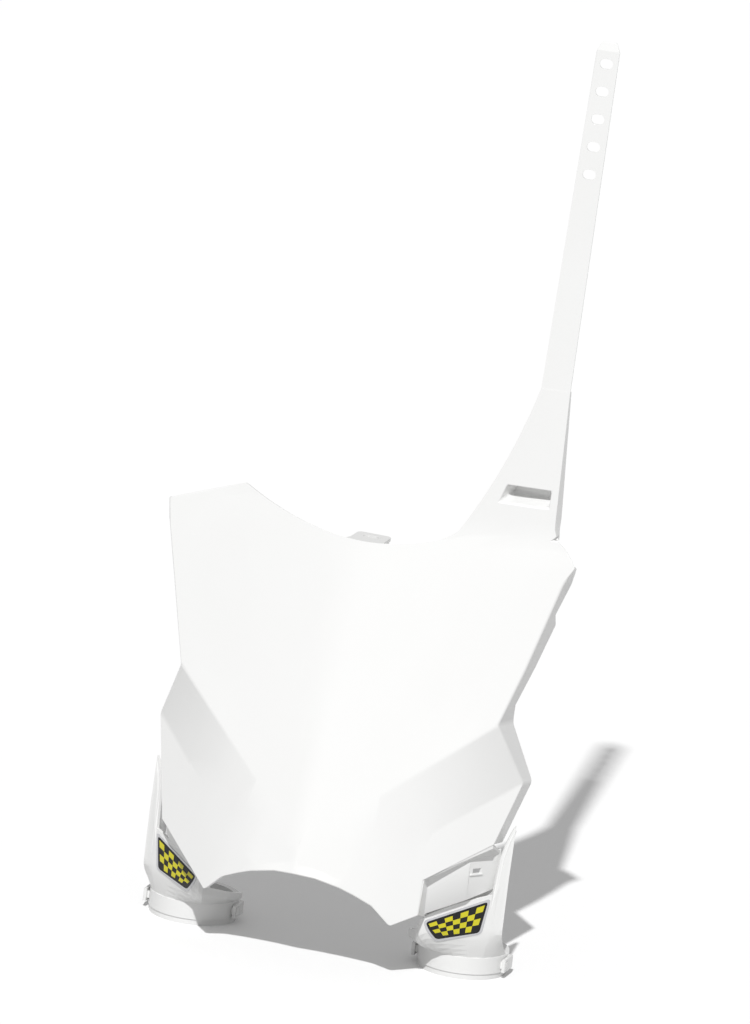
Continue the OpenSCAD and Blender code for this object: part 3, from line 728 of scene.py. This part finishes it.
    def build(self, films: dict[Layer, bpy.types.Material]) -> list[bpy.types.Object]:
        """Makes the sticker's layers.

        Args:
            films: The material of each layer.

        Returns:
            The finished pieces.
        """
        word = self.side.name.lower()
        made = []
        for layer in self.layers:
            if layer.kind is Layer.ACCENT:
                outlines = self.tile_outlines(layer.inset, films[layer.kind])
            else:
                outlines = [rounded_outline(self.inset(layer.inset), layer.corner)]
            mesh = bpy.data.meshes.new(f"sticker_{layer.kind.value}_{word}")
            whole = bmesh.new()
            for outline in outlines:
                sheet = self.patch(outline, layer.back, layer.face)
                scrap = bpy.data.meshes.new("scrap")
                sheet.to_mesh(scrap)
                sheet.free()
                whole.from_mesh(scrap)
                bpy.data.meshes.remove(scrap)
            whole.to_mesh(mesh)
            whole.free()
            piece = link_mesh(mesh.name, mesh)
            mesh.materials.append(films[layer.kind])
            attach(piece, "root")
            made.append(piece)
        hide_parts(f"decal_{word}")
        return made


@dataclass(frozen=True)
class FinWeb:
    """The thin stiffening web behind a shroud's fin, which closes the view between the fin and the plate."""

    side: Side
    thickness: float = 1.4
    line: tuple[tuple[float, float, float, float], ...] = (
        (131.9, -27.6, 47.0, 24.0),
        (131.9, -27.6, 67.5, 26.0),
        (133.6, -24.2, 95.0, 20.0),
        (136.0, -21.6, 107.0, 9.0),
        (138.2, -19.2, 115.0, 2.5),
    )

    def build(self, plastic: bpy.types.Material) -> bpy.types.Object:
        """Makes the web from its front line and its depth at each place.

        Args:
            plastic: The shroud's plastic.

        Returns:
            The finished piece.
        """
        shape = bmesh.new()
        rows = []
        for x, y, z, depth in self.line:
            corners = [(x, y), (x, y + depth), (x + self.thickness, y + depth), (x + self.thickness, y)]
            rows.append([shape.verts.new(Vector((self.side.value * a, b, z)) * MM) for a, b in corners])
        for low, high in zip(rows, rows[1:]):
            for i in range(4):
                shape.faces.new((low[i], low[i - 1], high[i - 1], high[i]))
        shape.faces.new(rows[0])
        shape.faces.new(rows[-1])
        bmesh.ops.recalc_face_normals(shape, faces=shape.faces)
        mesh = bpy.data.meshes.new(f"fin_web_{self.side.name.lower()}")
        shape.to_mesh(mesh)
        shape.free()
        mesh.materials.append(plastic)
        piece = link_mesh(mesh.name, mesh)
        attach(piece, "root")
        return piece


@dataclass
class Studio:
    """The floor, the lamps and the camera at the photograph's viewing angle."""

    azimuth: float = 17.0
    elevation: float = 14.5
    roll: float = 6.5
    pixels_per_metre: float = 1373.0
    origin_pixel: tuple[float, float] = (326.3, 943.9)
    image: tuple[int, int] = (750, 1024)
    distance: float = 10.0
    middle_depth: float = 0.1
    sensor: float = 36.0
    clip: tuple[float, float] = (0.5, 60.0)
    floor_reach: float = 14.0
    floor_tone: float = 0.48
    floor_roughness: float = 0.9
    floor_shine: float = 0.1
    backdrop_tone: float = 1.04
    surround: float = 0.38
    key_towards: Place = (0.119, -0.662, 0.74)
    key_strength: float = 2.5
    key_spread: float = 1.3

    def axes(self) -> tuple[Vector, Vector, Vector]:
        """Works out the camera's directions in the row frame.

        Returns:
            Its right, up and back directions.
        """
        a, e, r = (math.radians(v) for v in (self.azimuth, self.elevation, self.roll))
        back = Vector((math.sin(a) * math.cos(e), -math.cos(a) * math.cos(e), math.sin(e)))
        level = Vector((math.cos(a), math.sin(a), 0))
        up = back.cross(level)
        right = level * math.cos(r) + up * math.sin(r)
        return right, back.cross(right), back

    def camera(self) -> None:
        """Places a long lens so that the row's origin lands on its pixel of the photograph."""
        right, up, back = self.axes()
        shift_x = (self.image[0] / 2 - self.origin_pixel[0]) / self.pixels_per_metre
        shift_y = (self.origin_pixel[1] - self.image[1] / 2) / self.pixels_per_metre
        target = right * shift_x + up * shift_y + back * self.middle_depth
        data = bpy.data.cameras.new("photo_camera")
        data.sensor_width = self.sensor
        data.lens = data.sensor_width * self.pixels_per_metre * self.distance / max(self.image)
        data.clip_start, data.clip_end = self.clip
        lens = bpy.data.objects.new("photo_camera", data)
        bpy.context.scene.collection.objects.link(lens)
        turn = Matrix((right, up, back)).transposed().to_4x4()
        lens.matrix_world = Matrix.Translation(target + back * self.distance) @ turn
        bpy.context.scene.camera = lens

    def floor(self) -> None:
        """Lays a floor that keeps the object's shadow and looks white to the camera and in reflections."""
        mesh = bpy.data.meshes.new("floor")
        reach = self.floor_reach
        corners = [(-reach, -reach, 0), (reach, -reach, 0), (reach, reach, 0), (-reach, reach, 0)]
        mesh.from_pydata(corners, [], [(0, 1, 2, 3)])
        floor = link_mesh("floor", mesh)
        made = bpy.data.materials.new("floor_white")
        made.use_nodes = True
        nodes, links = made.node_tree.nodes, made.node_tree.links
        matt = nodes["Principled BSDF"]
        matt.inputs["Base Color"].default_value = (*[self.floor_tone] * 3, 1)
        matt.inputs["Roughness"].default_value = self.floor_roughness
        matt.inputs["Specular IOR Level"].default_value = self.floor_shine
        bright = nodes.new("ShaderNodeBsdfDiffuse")
        bright.inputs["Color"].default_value = (*[self.backdrop_tone] * 3, 1)
        path = nodes.new("ShaderNodeLightPath")
        shown = path.outputs["Is Camera Ray"]
        for ray in ("Is Glossy Ray", "Is Transmission Ray"):
            either = nodes.new("ShaderNodeMath")
            either.operation = "MAXIMUM"
            links.new(shown, either.inputs[0])
            links.new(path.outputs[ray], either.inputs[1])
            shown = either.outputs[0]
        seen = nodes.new("ShaderNodeMixShader")
        links.new(shown, seen.inputs[0])
        links.new(matt.outputs[0], seen.inputs[1])
        links.new(bright.outputs[0], seen.inputs[2])
        links.new(seen.outputs[0], nodes["Material Output"].inputs["Surface"])
        mesh.materials.append(made)

    def lamps(self) -> None:
        """Sets an even white surround, and a soft key lamp high in front of the plate."""
        world = bpy.data.worlds.new("studio")
        world.use_nodes = True
        even = world.node_tree.nodes["Background"]
        even.inputs["Color"].default_value = (1, 1, 1, 1)
        even.inputs["Strength"].default_value = self.surround
        bpy.context.scene.world = world
        self.lamp("high_key", self.key_towards, self.key_strength, self.key_spread)

    @staticmethod
    def lamp(name: str, towards: Place, strength: float, spread: float) -> None:
        """Adds one far lamp.

        Args:
            name: The lamp's name.
            towards: Direction from the object to the lamp.
            strength: Its strength.
            spread: Its apparent width in degrees, which softens its shadow.
        """
        data = bpy.data.lights.new(name, "SUN")
        data.energy = strength
        data.angle = math.radians(spread)
        lamp = bpy.data.objects.new(name, data)
        lamp.rotation_euler = Vector(towards).to_track_quat("Z", "Y").to_euler()
        bpy.context.scene.collection.objects.link(lamp)


def main() -> None:
    """Builds the object and the studio round it, and reports each piece."""
    logging.basicConfig(level=logging.INFO, format="%(message)s")
    scene = bpy.context.scene
    scene.view_settings.view_transform = "Standard"
    white, clip = WHITE.material(), CLIP_WHITE.material()
    plate_finish = EdgeFinish(rim_radius=2.4, crease_radius=2.2, drape=PlateDrape())
    small_finish = EdgeFinish()
    for name in list(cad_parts):
        if name.startswith("decal"):
            continue
        finish = plate_finish if name == "number_plate" else small_finish
        piece = finish.finished_copy(name, name + "_moulding")
        piece.data.materials.clear()
        piece.data.materials.append(clip if name.startswith("collar") else white)
        LOG.info("%s: %d faces", piece.name, len(piece.data.polygons))
    films = {
        Layer.BORDER: BORDER_FILM.material(),
        Layer.GROUND: GROUND_FILM.material(),
        Layer.ACCENT: ACCENT_FILM.material(),
    }
    for side in Side:
        for piece in (*ForkSticker(side).build(films), FinWeb(side).build(white)):
            LOG.info("%s: %d faces", piece.name, len(piece.data.polygons))
    studio = Studio()
    studio.camera()
    studio.floor()
    studio.lamps()


if __name__ == "__main__":
    main()
